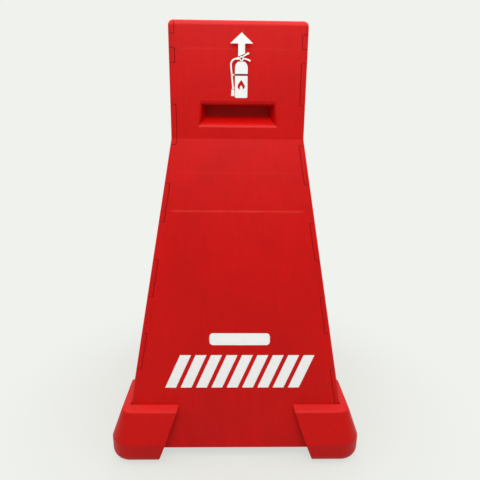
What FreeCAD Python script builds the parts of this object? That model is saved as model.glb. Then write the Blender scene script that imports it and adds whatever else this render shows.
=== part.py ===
import FreeCAD, Part
import math
import os
import Sketcher

# Fire extinguisher stand: four identical moulded panels meet in finger joints at the corners,
# stand in four corner feet and carry a shelf inside for the extinguisher.
# Millimetres, +Z up, origin on the floor in the middle, front face towards -Y.

doc = FreeCAD.newDocument("extinguisher_stand")
vector = FreeCAD.Vector

# Driving sizes
SIZES = {
    # Outer form of the four walls
    "overall_height": 1016,
    "top_width": 305,
    "neck_height": 766,
    "skirt_width": 552,
    "skirt_height": 25,
    # Moulded panel section
    "panel_depth": 13,
    "face_wall": 4,
    "edge_flange": 4,
    "rib_wall": 3,
    "rib_offset": 96,
    "stiffener_height": 883,
    # Finger joints
    "finger_count": 10,
    "joint_gap": 0.8,
    "corner_round": 8,
    "rim_round": 12,
    # Hand grip
    "grip_height": 796,
    "grip_opening": 44,
    "grip_width": 173,
    "grip_top_width": 164,
    "grip_back_width": 146,
    "lip_rise": 20.5,
    "lip_run": 35,
    "grip_reach": 45,
    "grip_wall": 3.5,
    "grip_round": 9,
    "grip_side_round": 4,
    # Shelf
    "shelf_height": 604,
    "shelf_plate": 5,
    "shelf_gap": 0.3,
    "tongue_inset": 10,
    "ring_bore": 196,
    "ring_wall": 4,
    "ring_height": 22,
    "shelf_rib_depth": 24,
    "drain_bore": 40,
    # Corner feet
    "foot_width": 610,
    "boot_top_width": 557,
    "ledge_height": 136,
    "ledge_drop": 8,
    "kick_height": 55,
    "foot_round": 24,
    "boot_corner": 22,
    "ledge_round": 8,
    "foot_end": 140,
    "foot_end_lean": 0.37,
    "boot_wall": 5,
    "floor_width": 50,
    "seat_gap": 0.3,
    "boot_rib": 6,
    # Rubber pads under the feet
    "pad_width": 42,
    "pad_corner": 6,
    "pad_thick": 5,
    "pad_proud": 1.5,
    # Push-fit pegs: flat shank, flat head
    "peg_width": 12,
    "peg_thick": 3.5,
    "peg_rim": 1.5,
    "peg_head": 3,
    "peg_tip": 1,
    "peg_gap": 0.2,
    "peg_inset": 8.8,
    "corner_peg": 14,
    "foot_peg": 32,
    "foot_peg_offset": 228,
    "foot_peg_recess": 12,
    "boss_wall": 4,
}

sheet = doc.addObject("Spreadsheet::Sheet", "Sizes")
for row, (alias, value) in enumerate(SIZES.items(), 1):
    sheet.set("A%d" % row, str(value))
    sheet.setAlias("A%d" % row, alias)
doc.recompute()


def number(expression):
    """The value of an expression on the sheet's sizes."""
    return float(sheet.evalExpression(expression))


# Derived places, as expressions on the sheet
RIM = "Sizes.overall_height"
NECK = "Sizes.neck_height"
SKIRT = "Sizes.skirt_height"
LEAN = "(Sizes.skirt_width - Sizes.top_width) / 2 / (Sizes.neck_height - Sizes.skirt_height)"
LEAN_ANGLE = "atan(%s)" % LEAN
PITCH = "(Sizes.overall_height - Sizes.ledge_height) / Sizes.finger_count"
UPPER_INNER = "(Sizes.top_width / 2 - Sizes.panel_depth)"
NOTCH = "(Sizes.panel_depth + Sizes.joint_gap)"
EDGE = "(Sizes.panel_depth + Sizes.joint_gap + Sizes.edge_flange)"
MARGIN = "Sizes.panel_depth * 4"
SOLE = "Sizes.pad_proud"
GRIP_TOP = "(Sizes.grip_height + Sizes.grip_opening)"
LIP_TOP = "(Sizes.grip_height + Sizes.lip_rise)"
BOOT_AXIS = "(Sizes.boot_top_width / 2 - Sizes.boot_corner)"


def half_width(height):
    """Distance of a wall's outer face from the middle at a height."""
    return "(Sizes.top_width / 2 + max(0; Sizes.neck_height - (%s)) * %s)" % (height, LEAN)


def plane_of(body, role):
    """One of the body's own origin planes."""
    return next(item for item in body.Origin.OriginFeatures if item.Role == role)


def new_sketch(body, role, name, offset=None, tilt=None):
    """A sketch on an origin plane, moved along its normal or set by a full offset."""
    sketch = body.newObject("Sketcher::SketchObject", name)
    sketch.AttachmentSupport = [(plane_of(body, role), "")]
    sketch.MapMode = "FlatFace"
    if offset:
        for axis, expression in zip("xyz", offset):
            sketch.setExpression("AttachmentOffset.Base.%s" % axis, expression)
    if tilt:
        sketch.AttachmentOffset = FreeCAD.Placement(vector(), FreeCAD.Rotation(vector(1, 0, 0), -1))
        sketch.setExpression("AttachmentOffset.Rotation.Angle", tilt)
    return sketch


def hold(sketch, kind, geometry, point, expression):
    """Hold one coordinate of a point at the value of an expression."""
    rule = Sketcher.Constraint(kind, -1, 1, geometry, point, number(expression))
    index = sketch.addConstraint(rule)
    sketch.setExpression("Constraints[%d]" % index, expression)


def pin(sketch, geometry, point, across, up):
    """Hold one point of the sketch at a place given by two expressions."""
    hold(sketch, "DistanceX", geometry, point, across)
    hold(sketch, "DistanceY", geometry, point, up)


def add_outline(sketch, points):
    """A closed outline of straight lines through points given as expressions."""
    first = sketch.GeometryCount
    places = [vector(number(across), number(up), 0) for across, up in points]
    count = len(points)
    for step in range(count):
        sketch.addGeometry(Part.LineSegment(places[step], places[(step + 1) % count]))
    for step in range(count):
        following = first + (step + 1) % count
        sketch.addConstraint(Sketcher.Constraint("Coincident", first + step, 2, following, 1))
        pin(sketch, first + step, 1, *points[step])


def rectangle(across, up, wide, high):
    """Corners of a rectangle about a point."""
    left = "(%s - (%s) / 2)" % (across, wide)
    right = "(%s + (%s) / 2)" % (across, wide)
    low = "(%s - (%s) / 2)" % (up, high)
    top = "(%s + (%s) / 2)" % (up, high)
    return [(left, low), (right, low), (right, top), (left, top)]


def add_circle(sketch, across, up, width):
    """A circle of a given width about a point."""
    centre = vector(number(across), number(up), 0)
    radius = number(width) / 2
    index = sketch.addGeometry(Part.Circle(centre, vector(0, 0, 1), radius))
    pin(sketch, index, 3, across, up)
    rule = sketch.addConstraint(Sketcher.Constraint("Diameter", index, number(width)))
    sketch.setExpression("Constraints[%d]" % rule, width)


def extrude(body, kind, name, sketch, length, **settings):
    """A Pad or Pocket of the sketch."""
    feature = body.newObject("PartDesign::" + kind, name)
    feature.Profile = sketch
    if length == "through":
        feature.Type = "ThroughAll"
    else:
        feature.setExpression("Length", length)
    for key, value in settings.items():
        setattr(feature, key, value)
    return feature


def edge_names(shape, wanted):
    """Names of the shape's edges whose points pass a test."""
    names = []
    for index, edge in enumerate(shape.Edges, 1):
        middle = edge.valueAt((edge.FirstParameter + edge.LastParameter) / 2)
        ends = [vertex.Point for vertex in edge.Vertexes]
        if wanted(edge, ends, middle):
            names.append("Edge%d" % index)
    return names


def round_edges(body, name, wanted, radius):
    """A fillet on every edge that passes the test."""
    doc.recompute()
    base = body.Tip
    feature = body.newObject("PartDesign::Fillet", name)
    feature.Base = (base, edge_names(base.Shape, wanted))
    feature.setExpression("Radius", radius)
    return feature


def new_body(label):
    body = doc.addObject("PartDesign::Body", label)
    body.Label = label
    return body


# Finger joints
def finger_rows():
    """Heights between fingers from the rim down: three short ones, then the full pitch."""
    rows = ["Sizes.overall_height"]
    for part in (1, 2):
        rows.append("(%s - %s * %d / 3)" % (RIM, PITCH, part))
    for step in range(1, int(number("Sizes.finger_count")) + 1):
        rows.append("(%s - %s * %d)" % (RIM, PITCH, step))
    rows.append(SKIRT)
    return rows


ROWS = finger_rows()
HALF_GAP = "Sizes.joint_gap / 2"


def edge_points(sign, first_own):
    """One side edge of a panel, top to bottom, with every other finger its own."""
    points = []
    last = len(ROWS) - 2
    for step in range(last + 1):
        own = step % 2 == first_own
        inset = "0" if own else NOTCH
        top, bottom = ROWS[step], ROWS[step + 1]
        if step > 0:
            top = "(%s %s %s)" % (top, "-" if own else "+", HALF_GAP)
        if step < last:
            bottom = "(%s %s %s)" % (bottom, "+" if own else "-", HALF_GAP)
        heights = [top, bottom]
        if number(top) > number(NECK) > number(bottom):
            heights.insert(1, NECK)
        for height in heights:
            points.append(("%s(%s - %s)" % (sign, half_width(height), inset), height))
    return points


def peg_heights():
    """Middle heights of the full fingers on a panel's right edge."""
    heights = []
    for step in range(4, len(ROWS) - 2, 2):
        heights.append("((%s + %s) / 2)" % (ROWS[step], ROWS[step + 1]))
    return heights


# Panels
def build_panel(label):
    body = new_body(label)
    add_slab(body)
    round_corners(body)
    cut_fingers(body)
    add_grip(body)
    core_lower_wall(body)
    core_upper_wall(body)
    cut_grip(body)
    slot_panel(body)
    return body


def add_slab(body):
    """The bent wall at its full depth, wider than the panel."""
    side = new_sketch(body, "YZ_Plane", "wall_section")
    inner = [("-(%s - Sizes.panel_depth)" % half_width(height), height) for height in (RIM, NECK, SKIRT)]
    outer = [("-%s" % half_width(height), height) for height in (SKIRT, NECK, RIM)]
    add_outline(side, outer + inner)
    length = "Sizes.skirt_width + %s" % MARGIN
    extrude(body, "Pad", "bent_wall", side, length, SideType="Symmetric")


def add_arced_outline(sketch, points, centre, radius, bulge):
    """Straight lines through the points, closed by an arc about a centre from the last to the first."""
    first = sketch.GeometryCount
    places = [vector(number(across), number(up), 0) for across, up in points]
    for start, end in zip(places, places[1:]):
        sketch.addGeometry(Part.LineSegment(start, end))
    middle = vector(number(centre[0]), number(centre[1]), 0)
    halfway = middle + vector(*bulge, 0).normalize() * number(radius)
    arc = sketch.addGeometry(Part.Arc(places[-1], halfway, places[0]))
    for step in range(first, arc - 1):
        sketch.addConstraint(Sketcher.Constraint("Coincident", step, 2, step + 1, 1))
    starts_last = sketch.getPoint(arc, 1).distanceToPoint(places[-1]) < 1e-6
    last_end, first_end = (1, 2) if starts_last else (2, 1)
    sketch.addConstraint(Sketcher.Constraint("Coincident", arc, last_end, arc - 1, 2))
    sketch.addConstraint(Sketcher.Constraint("Coincident", arc, first_end, first, 1))
    for step, point in enumerate(points[:-1]):
        pin(sketch, first + step, 1, *point)
    for index, expression in enumerate(points[-1]):
        hold(sketch, ("DistanceX", "DistanceY")[index], arc - 1, 2, expression)
    tangent_axis = "DistanceX" if abs(places[-1].x - middle.x) < 1e-6 else "DistanceY"
    hold(sketch, tangent_axis, arc, 3, centre[0] if tangent_axis == "DistanceX" else centre[1])


def corner_scrap(sketch, sign, height):
    """The bit outside a rounded wall corner at one height, on the right ("") or the left ("-")."""
    wall = half_width(height)
    near = "(%s - Sizes.corner_round)" % wall
    far = "(%s + Sizes.corner_round)" % wall
    points = [
        (sign + near, "-" + wall), (sign + near, "-" + far), (sign + far, "-" + far),
        (sign + far, "-" + near), (sign + wall, "-" + near),
    ]
    side = 1 if sign == "" else -1
    add_arced_outline(sketch, points, (sign + near, "-" + near), "Sizes.corner_round", (side, -1))


def round_corners(body):
    """Both upright corners rounded, straight above the neck and leaning below it."""
    upper = new_sketch(body, "XY_Plane", "upper_corners", ("0", "0", NECK))
    for sign in ("", "-"):
        corner_scrap(upper, sign, NECK)
    extrude(body, "Pocket", "upper_rounding", upper, "through", Reversed=True)
    for side, sign in (("right", ""), ("left", "-")):
        ends = []
        for height in (NECK, SKIRT):
            sketch = new_sketch(body, "XY_Plane", side + "_corner", ("0", "0", height))
            corner_scrap(sketch, sign, height)
            ends.append(sketch)
        loft(body, side + "_rounding", ends, "SubtractiveLoft")


def loft(body, name, sketches, kind):
    """A straight loft through sections."""
    feature = body.newObject("PartDesign::" + kind, name)
    feature.Profile = sketches[0]
    feature.Sections = sketches[1:]
    feature.Ruled = True
    return feature


def cut_fingers(body):
    """The finger outline and the rounded rim."""
    front = new_sketch(body, "XZ_Plane", "finger_outline")
    reach = "Sizes.skirt_width"
    low = "(Sizes.skirt_height - %s)" % MARGIN
    high = "(Sizes.overall_height + %s)" % MARGIN
    add_outline(front, [("-" + reach, low), (reach, low), (reach, high), ("-" + reach, high)])
    add_outline(front, edge_points("", 0) + edge_points("-", 1)[::-1])
    extrude(body, "Pocket", "fingers", front, "through", SideType="Symmetric")
    rim = number(RIM)
    inner = -number(UPPER_INNER)

    def rim_edge(edge, ends, middle):
        on_rim = all(abs(point.z - rim) < 1e-3 for point in ends + [middle])
        behind = all(abs(point.y - inner) < 1e-3 for point in ends)
        beside = all(point.x < inner + 1 for point in ends)
        return on_rim and not behind and not beside

    round_edges(body, "rim_rounding", rim_edge, "Sizes.rim_round")


def row_of_bays(low, high, columns):
    """Outlines between two heights; each column is a pair of limits as functions of height."""
    bays = []
    for left, right in columns:
        bays.append([(left(low), low), (right(low), low), (right(high), high), (left(high), high)])
    return bays


def fixed(expression):
    return lambda height: expression


def edge_limit(sign):
    return lambda height: "%s(%s - %s)" % (sign, half_width(height), EDGE)


RIB_LEFT = fixed("-(Sizes.rib_offset + Sizes.rib_wall / 2)")
RIB_RIGHT = fixed("(Sizes.rib_offset + Sizes.rib_wall / 2)")
BAY_LEFT = fixed("-(Sizes.rib_offset - Sizes.rib_wall / 2)")
BAY_RIGHT = fixed("(Sizes.rib_offset - Sizes.rib_wall / 2)")
OUTER_COLUMNS = [(edge_limit("-"), RIB_LEFT), (RIB_RIGHT, edge_limit(""))]
ALL_COLUMNS = OUTER_COLUMNS + [(BAY_LEFT, BAY_RIGHT)]
SHELF_INNER = "(%s - Sizes.panel_depth - Sizes.shelf_gap * 2)" % half_width("Sizes.shelf_height")
TONGUE = "(%s - Sizes.tongue_inset)" % SHELF_INNER
SHELF_TOP = "(Sizes.shelf_height + Sizes.shelf_gap)"
SHELF_LOW = "(Sizes.shelf_height - Sizes.shelf_plate - Sizes.shelf_gap)"


def below(height):
    return "(%s - Sizes.rib_wall / 2)" % height


def above(height):
    return "(%s + Sizes.rib_wall / 2)" % height


def cut_bays(body, name, bays, plane, to_plane):
    """One pocket for each row of bays, down to the face wall."""
    for step, row in enumerate(bays):
        sketch = new_sketch(body, "XZ_Plane", "%s_%d" % (name, step), *plane)
        for bay in row:
            add_outline(sketch, [(across, to_plane(up)) for across, up in bay])
        length = "Sizes.panel_depth - Sizes.face_wall"
        if len(plane) > 1:
            length = "(%s) * cos(%s)" % (length, LEAN_ANGLE)
        extrude(body, "Pocket", "%s_coring_%d" % (name, step), sketch, length, Reversed=True)


LEANING_PLANE = (("0", NECK, UPPER_INNER), "-%s" % LEAN_ANGLE)
UPRIGHT_PLANE = (("0", "0", UPPER_INNER),)


def up_the_lean(height):
    """Place along the leaning wall, measured from the neck."""
    return "(%s - %s) / cos(%s)" % (height, NECK, LEAN_ANGLE)


def core_lower_wall(body):
    """Bays between the ribs of the leaning wall, and the slot that takes the shelf's tongue."""
    base = "(%s + Sizes.edge_flange)" % SKIRT
    plate_middle = "Sizes.shelf_height - Sizes.shelf_plate / 2"
    rows = []
    high = "(%s - Sizes.rib_wall * 1.5)" % SHELF_LOW
    step = 1
    while number("%s - %s * %d" % (plate_middle, PITCH, step)) > number(base) + number(PITCH) / 4:
        rib = "(%s - %s * %d)" % (plate_middle, PITCH, step)
        rows.append(row_of_bays(above(rib), high, ALL_COLUMNS))
        high = below(rib)
        step += 1
    near = "(Sizes.foot_peg_offset - Sizes.peg_width / 2 - Sizes.boss_wall)"
    far = "(Sizes.foot_peg_offset + Sizes.peg_width / 2 + Sizes.boss_wall)"
    foot_columns = [
        (edge_limit("-"), fixed("-" + far)), (fixed("-" + near), RIB_LEFT), (BAY_LEFT, BAY_RIGHT),
        (RIB_RIGHT, fixed(near)), (fixed(far), edge_limit("")),
    ]
    rows.append(row_of_bays(base, high, foot_columns))
    middle_rib = "(%s + %s)" % (plate_middle, PITCH)
    rows.append(row_of_bays("(%s + Sizes.rib_wall)" % SHELF_TOP, below(middle_rib), ALL_COLUMNS))
    rows.append(row_of_bays(above(middle_rib), "(%s - Sizes.rib_wall)" % NECK, ALL_COLUMNS))
    cut_bays(body, "lower", rows, LEANING_PLANE, up_the_lean)
    floor = "(%s - Sizes.face_wall)" % half_width(SHELF_TOP)
    slot = new_sketch(body, "XZ_Plane", "shelf_slot", ("0", "0", floor))
    tongue = "(%s + Sizes.shelf_gap)" % TONGUE
    low_end = [("-" + tongue, SHELF_LOW), (tongue, SHELF_LOW)]
    add_outline(slot, low_end + [(tongue, SHELF_TOP), ("-" + tongue, SHELF_TOP)])
    extrude(body, "Pocket", "shelf_slot_cut", slot, "Sizes.panel_depth")


def core_upper_wall(body):
    """Bays of the upright wall, round the hand grip."""
    stiffener = "Sizes.stiffener_height"
    hem = ROWS[2]
    top = "(%s - Sizes.rim_round - Sizes.rib_wall)" % RIM
    grip_top = "(%s + Sizes.grip_wall + Sizes.rib_wall)" % GRIP_TOP
    grip_low = "(Sizes.grip_height - Sizes.grip_wall * 2)"
    middle = [(BAY_LEFT, BAY_RIGHT)]
    rows = [
        row_of_bays(above(NECK), below(stiffener), OUTER_COLUMNS),
        row_of_bays(above(NECK), grip_low, middle) + row_of_bays(grip_top, below(stiffener), middle),
        row_of_bays(above(stiffener), below(hem), ALL_COLUMNS),
        row_of_bays(above(hem), top, ALL_COLUMNS),
    ]
    cut_bays(body, "upper", rows, UPRIGHT_PLANE, lambda height: height)


def grip_sections(body, name, sections, kind):
    """A loft between upright sections of the hand grip, each a depth and its corners."""
    sketches = []
    for step, (depth, corners) in enumerate(sections):
        offset = ("0", "0", "(Sizes.top_width / 2 - %s)" % depth)
        sketch = new_sketch(body, "XZ_Plane", "%s_%d" % (name, step), offset)
        add_outline(sketch, corners)
        sketches.append(sketch)
    loft(body, name, sketches, kind)


def trapezoid(low_width, high_width, low, high, grow="0"):
    """Four corners, each width a full one."""
    low_half = "((%s) / 2 + %s)" % (low_width, grow)
    high_half = "((%s) / 2 + %s)" % (high_width, grow)
    return [("-" + low_half, low), (low_half, low), (high_half, high), ("-" + high_half, high)]


def add_grip(body):
    """The shell of the hand grip behind the wall."""
    wall = "Sizes.grip_wall"
    low = "(Sizes.grip_height - %s * 1.5)" % wall
    back_low = "(%s - %s)" % (LIP_TOP, wall)
    high = "(%s + %s)" % (GRIP_TOP, wall)
    sections = [
        ("Sizes.face_wall", trapezoid("Sizes.grip_width", "Sizes.grip_width", low, high, wall)),
        ("Sizes.lip_run", trapezoid("Sizes.grip_back_width", "Sizes.grip_back_width", back_low, high, wall)),
    ]
    grip_sections(body, "grip_shell", sections, "AdditiveLoft")
    back = new_sketch(body, "XZ_Plane", "grip_back", ("0", "0", "(Sizes.top_width / 2 - Sizes.lip_run)"))
    add_outline(back, trapezoid("Sizes.grip_back_width", "Sizes.grip_back_width", back_low, high, wall))
    extrude(body, "Pad", "grip_end", back, "Sizes.grip_reach + %s - Sizes.lip_run" % wall, Reversed=True)


# Parts of the grip's edge rounding at which its sections stand, from the face inwards
GRIP_EDGE_STEPS = (0, 0.22, 0.55, 1)


def cut_grip(body):
    """The hand grip: a sloping lip below, a flat ceiling and a deeper space behind."""
    sections = [
        ("0", trapezoid("Sizes.grip_width", "Sizes.grip_top_width", "Sizes.grip_height", GRIP_TOP)),
        ("Sizes.lip_run", trapezoid("Sizes.grip_back_width", "Sizes.grip_back_width", LIP_TOP, GRIP_TOP)),
    ]
    grip_sections(body, "grip_mouth", sections, "SubtractiveLoft")
    back = new_sketch(body, "XZ_Plane", "grip_deep", ("0", "0", "(Sizes.top_width / 2 - Sizes.lip_run)"))
    add_outline(back, trapezoid("Sizes.grip_back_width", "Sizes.grip_back_width", LIP_TOP, GRIP_TOP))
    extrude(body, "Pocket", "grip_space", back, "Sizes.grip_reach - Sizes.lip_run")
    edge = []
    for share in GRIP_EDGE_STEPS:
        grow = 1 - math.sqrt(1 - (1 - share) ** 2)
        depth = "(Sizes.grip_round * %s)" % share
        edge.append((depth, mouth_outline("(%s / Sizes.lip_run)" % depth, grow)))
    grip_sections(body, "grip_edge", edge, "SubtractiveLoft")


def mouth_outline(part, grow):
    """The mouth at a part of the lip's run, grown by a share of its edge rounding."""
    side = "Sizes.grip_side_round * %s" % grow
    shrink = "(Sizes.%s - Sizes.grip_back_width) * %s"
    low_width = "Sizes.grip_width - %s" % (shrink % ("grip_width", part))
    high_width = "Sizes.grip_top_width - %s" % (shrink % ("grip_top_width", part))
    low = "(Sizes.grip_height + Sizes.lip_rise * %s - %s)" % (part, side)
    high = "(%s + Sizes.grip_round * %s)" % (GRIP_TOP, grow)
    return trapezoid(low_width, high_width, low, high, side)


def slot_panel(body):
    """Blind slots in the right fingers, slots in the left flange and slots in the foot bosses."""
    depth = "Sizes.corner_peg - Sizes.edge_flange"
    reach = "Sizes.edge_flange * 3"
    seat = "(Sizes.top_width / 2 - %s)" % NOTCH
    for name, heights, plane, side_plane, to_plane in (
        ("upper", UPPER_PEGS, UPRIGHT_PLANE, (("0", "0", "-" + seat),), lambda height: height),
        ("lower", LOWER_PEGS, LEANING_PLANE, (("0", NECK, "-" + seat), LEAN_ANGLE), up_the_lean),
    ):
        blind = new_sketch(body, "XZ_Plane", name + "_finger_slots", *plane)
        for height in heights:
            add_outline(blind, rectangle(peg_line(height), to_plane(height), SLOT_THICK, SLOT_WIDTH))
        extrude(body, "Pocket", name + "_finger_slot_cut", blind, depth, Reversed=True)
        open_slots = new_sketch(body, "YZ_Plane", name + "_flange_slots", *side_plane)
        for height in heights:
            across = "-" + peg_line(height)
            add_outline(open_slots, rectangle(across, to_plane(height), SLOT_THICK, SLOT_WIDTH))
        extrude(body, "Pocket", name + "_flange_slot_cut", open_slots, reach, SideType="Symmetric")
    low = new_sketch(body, "XY_Plane", "boss_slots", ("0", "0", SKIRT))
    for sign in ("", "-"):
        place = (sign + "Sizes.foot_peg_offset", "-" + FOOT_PEG_LINE)
        add_outline(low, rectangle(*place, SLOT_WIDTH, SLOT_THICK))
    extrude(body, "Pocket", "boss_slot_cut", low, BOSS_SLOT, Reversed=True)


def peg_line(height):
    """Distance of a corner peg from the middle of the panel, within the neighbour's bay."""
    return "(%s - Sizes.peg_inset)" % half_width(height)


SLOT_WIDTH = "(Sizes.peg_width + Sizes.peg_gap * 2)"
SLOT_THICK = "(Sizes.peg_thick + Sizes.peg_gap * 2)"
UPPER_PEGS = [height for height in peg_heights() if number(height) > number(NECK)]
LOWER_PEGS = [height for height in peg_heights() if number(height) <= number(NECK)]
FOOT_PEG_LINE = "(%s - Sizes.panel_depth / 2)" % half_width("(Sizes.skirt_height + Sizes.panel_depth)")
FOOT_SEAT = "(%s + Sizes.foot_peg_recess)" % SOLE
BOSS_SLOT = "(%s + Sizes.foot_peg - Sizes.skirt_height + Sizes.peg_gap)" % FOOT_SEAT


# Corner feet
def boot_outline(sketch, inner_points, sign=""):
    """Outer section of a foot: flat sole, rounded bottom edge, upright kick face and leaning face."""
    outer = "Sizes.foot_width / 2"
    tread = "(%s - Sizes.foot_round)" % outer
    turn = "(%s + Sizes.foot_round)" % SOLE
    points = [
        (outer, turn), (outer, "Sizes.kick_height"),
        ("Sizes.boot_top_width / 2", "(Sizes.ledge_height - Sizes.ledge_drop)"),
    ] + inner_points + [(tread, SOLE)]
    points = [(sign + across, up) for across, up in points]
    side = -1 if sign else 1
    add_arced_outline(sketch, points, (sign + tread, turn), "Sizes.foot_round", (side, -1))


def ledge_at(across):
    """Height of the sloping ledge at a distance from the middle."""
    wall = half_width("Sizes.ledge_height")
    slope = "Sizes.ledge_drop / (Sizes.boot_top_width / 2 - %s)" % wall
    return "(Sizes.ledge_height - (%s - %s) * %s)" % (across, wall, slope)


def foot_end(height):
    """Distance of a foot's slanting end from the middle of the side."""
    return "(Sizes.foot_end + (Sizes.ledge_height - %s) * Sizes.foot_end_lean)" % height


def build_foot(label):
    """The front right foot: two legs, a rounded corner between them and a seat for the panels."""
    body = new_body(label)
    wall = half_width("Sizes.ledge_height")
    inner = "(%s - Sizes.floor_width / 2)" % half_width(SKIRT)
    leg_inner = [(wall, "Sizes.ledge_height"), (inner, "Sizes.ledge_height"), (inner, SOLE)]
    length = "(%s - %s)" % (BOOT_AXIS, foot_end("Sizes.ledge_height"))
    side = new_sketch(body, "XZ_Plane", "side_leg_section", ("0", "0", BOOT_AXIS))
    boot_outline(side, leg_inner)
    extrude(body, "Pad", "side_leg", side, length, Reversed=True)
    corner = new_sketch(body, "XZ_Plane", "corner_section", ("0", "0", BOOT_AXIS))
    boot_outline(corner, [(BOOT_AXIS, ledge_at(BOOT_AXIS)), (BOOT_AXIS, SOLE)])
    turned = body.newObject("PartDesign::Revolution", "corner")
    turned.Profile = corner
    turned.ReferenceAxis = (corner, ["Edge4"])
    turned.Angle = 90
    front = new_sketch(body, "YZ_Plane", "front_leg_section", ("0", "0", BOOT_AXIS))
    boot_outline(front, leg_inner, "-")
    extrude(body, "Pad", "front_leg", front, length, Reversed=True)
    add_pad_plate(body)
    cut_panel_seat(body)
    cut_foot_ends(body)
    round_ledge(body)
    hollow_legs(body)
    slot_foot(body)
    return body


def square(low, high):
    """A square in the plan of the front right corner."""
    return [(low, "-" + low), (high, "-" + low), (high, "-" + high), (low, "-" + high)]


PAD_CENTRE = "(%s - Sizes.panel_depth - Sizes.pad_width / 2)" % half_width(SKIRT)


def add_pad_plate(body):
    """The corner plate that carries the rubber pad and the panels' ends."""
    plate = new_sketch(body, "XY_Plane", "pad_plate", ("0", "0", SOLE))
    low = "(%s - Sizes.pad_width / 2 - Sizes.boot_wall)" % PAD_CENTRE
    add_outline(plate, square(low, BOOT_AXIS))
    extrude(body, "Pad", "corner_plate", plate, "(%s - %s)" % (SKIRT, SOLE))


def seat_corner(height):
    return "(%s + Sizes.seat_gap)" % half_width(height)


def cut_panel_seat(body):
    """The space of the panels' corner, from the foot's floor up past the ledge."""
    high = "(Sizes.ledge_height + Sizes.ledge_drop)"
    ends = []
    for height in (SKIRT, high):
        sketch = new_sketch(body, "XY_Plane", "seat", ("0", "0", height))
        add_outline(sketch, square("0", seat_corner(height)))
        ends.append(sketch)
    loft(body, "panel_seat", ends, "SubtractiveLoft")


def end_scrap(sign):
    """What lies beyond a leg's slanting end, seen square to the leg."""
    low = "(%s - Sizes.boot_wall)" % SOLE
    high = "(Sizes.ledge_height + Sizes.boot_wall)"
    return [
        ("0", low), (sign + foot_end(low), low), (sign + foot_end(high), high), ("0", high),
    ]


def cut_foot_ends(body):
    """Both legs end on a slant."""
    front = new_sketch(body, "XZ_Plane", "front_end")
    add_outline(front, end_scrap(""))
    extrude(body, "Pocket", "front_end_cut", front, "Sizes.foot_width", Reversed=True)
    side = new_sketch(body, "YZ_Plane", "side_end")
    add_outline(side, end_scrap("-"))
    extrude(body, "Pocket", "side_end_cut", side, "Sizes.foot_width", Reversed=True)


def round_ledge(body):
    """The outer edge of the ledge, along both legs and round the corner."""
    edge_height = number("Sizes.ledge_height - Sizes.ledge_drop")

    def ledge_edge(edge, ends, middle):
        level = all(abs(point.z - edge_height) < 1e-3 for point in ends + [middle])
        return level and edge.Length > 1

    round_edges(body, "ledge_rounding", ledge_edge, "Sizes.ledge_round")


def hollow_legs(body):
    """Two bays in each leg, open towards the panel, with a rib above the peg between them."""
    base = "(%s + Sizes.boot_wall)" % SKIRT
    top = "(Sizes.ledge_height - Sizes.ledge_drop - Sizes.boot_wall)"
    kick = "(Sizes.foot_width / 2 - Sizes.boot_wall)"
    lean = "((Sizes.foot_width - Sizes.boot_top_width) / 2 / " \
        "(Sizes.ledge_height - Sizes.ledge_drop - Sizes.kick_height))"
    far_top = "(%s - (%s - Sizes.kick_height) * %s)" % (kick, top, lean)
    inside = "(%s - Sizes.boot_wall)" % half_width("Sizes.ledge_height")
    section = [(inside, base), (kick, base), (kick, "Sizes.kick_height"), (far_top, top), (inside, top)]
    rib = "Sizes.boot_rib / 2"
    first = "(%s + Sizes.boot_wall)" % foot_end(SKIRT)
    bays = [
        (first, "(Sizes.foot_peg_offset - %s)" % rib),
        ("(Sizes.foot_peg_offset + %s)" % rib, "(%s - Sizes.boot_wall)" % BOOT_AXIS),
    ]
    for step, (start, end) in enumerate(bays):
        length = "(%s - %s)" % (end, start)
        side = new_sketch(body, "XZ_Plane", "side_bay_%d" % step, ("0", "0", end))
        add_outline(side, section)
        extrude(body, "Pocket", "side_bay_cut_%d" % step, side, length)
        front = new_sketch(body, "YZ_Plane", "front_bay_%d" % step, ("0", "0", end))
        add_outline(front, [("-" + across, up) for across, up in section])
        extrude(body, "Pocket", "front_bay_cut_%d" % step, front, length)


def slot_foot(body):
    """Slots for the pegs, sunk for their heads from below, and the recess of the rubber pad."""
    head_width = "(%s + Sizes.peg_rim * 2)" % SLOT_WIDTH
    head_thick = "(%s + Sizes.peg_rim * 2)" % SLOT_THICK
    cuts = (
        ("peg_slot", SLOT_WIDTH, SLOT_THICK, "Sizes.skirt_height"),
        ("head_recess", head_width, head_thick, "Sizes.foot_peg_recess"),
    )
    for name, wide, thick, depth in cuts:
        sketch = new_sketch(body, "XY_Plane", name, ("0", "0", SOLE))
        add_outline(sketch, rectangle("Sizes.foot_peg_offset", "-" + FOOT_PEG_LINE, wide, thick))
        add_outline(sketch, rectangle(FOOT_PEG_LINE, "-Sizes.foot_peg_offset", thick, wide))
        extrude(body, "Pocket", name + "_cut", sketch, depth, Reversed=True)
    recess = new_sketch(body, "XY_Plane", "pad_recess", ("0", "0", SOLE))
    add_outline(recess, pad_outline("Sizes.seat_gap"))
    extrude(body, "Pocket", "pad_recess_cut", recess, "(Sizes.pad_thick - %s)" % SOLE, Reversed=True)


def pad_outline(gap):
    """A square with its corners cut off, under the front right foot."""
    low = "(%s - Sizes.pad_width / 2 - %s)" % (PAD_CENTRE, gap)
    high = "(%s + Sizes.pad_width / 2 + %s)" % (PAD_CENTRE, gap)
    low_cut = "(%s + Sizes.pad_corner)" % low
    high_cut = "(%s - Sizes.pad_corner)" % high
    return [
        (low_cut, "-" + low), (high_cut, "-" + low), (high, "-" + low_cut), (high, "-" + high_cut),
        (high_cut, "-" + high), (low_cut, "-" + high), (low, "-" + high_cut), (low, "-" + low_cut),
    ]


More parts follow.
